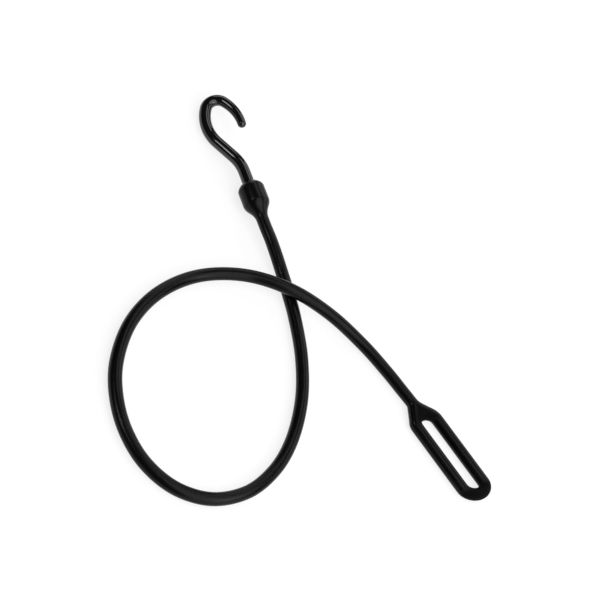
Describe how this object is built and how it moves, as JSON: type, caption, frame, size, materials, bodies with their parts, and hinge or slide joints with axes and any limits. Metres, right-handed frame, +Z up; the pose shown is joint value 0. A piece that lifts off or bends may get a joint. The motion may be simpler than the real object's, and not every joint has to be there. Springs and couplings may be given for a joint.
{
  "type": "bungee cord",
  "caption": "Moulded elastic bungee cord lying in an open loop, with a swivelling coated steel hook in a socket bulb at one end and a long slotted pull eye at the other.",
  "frame": {"origin": "on the surface that the cord lies on, under the middle of the box of the hook, socket and pull eye", "axes": "+X along the pull eye, from the cord to its far end; +Z up, away from the surface; the cord's loop lies towards -Y"},
  "size_m": [0.2578, 0.1632, 0.0141],
  "materials": {
    "elastic": "satin black moulded elastomer",
    "hook_skin": "glossy black moulded plastic",
    "hook_wire": "bright drawn wire"
  },
  "bodies": {
    "cord": {"cord_loop": "elastic", "cord_hook_leg": "elastic", "cord_eye_leg": "elastic"},
    "socket": {"hook_socket": "elastic"},
    "hook": {"hook_wire": "hook_wire", "hook_skin": "hook_skin"},
    "eye": {"pull_eye": "elastic"}
  },
  "joints": [
    {"name": "hook_leg_stretch", "type": "slide", "parent": "cord", "child": "socket", "axis": [-0.9567, 0.2909, 0], "range_m": [0, 0.0402], "stiffness_N_per_m": 995, "deforming": ["cord_hook_leg"]},
    {"name": "hook_swivel", "type": "hinge", "parent": "socket", "child": "hook", "pos_m": [-0.05243, -0.01224, 0.00705], "axis": [-0.9567, 0.2909, 0], "continuous": true},
    {"name": "eye_leg_stretch", "type": "slide", "parent": "cord", "child": "eye", "axis": [1, 0, 0], "range_m": [0, 0.062], "stiffness_N_per_m": 650, "deforming": ["cord_eye_leg"]}
  ]
}
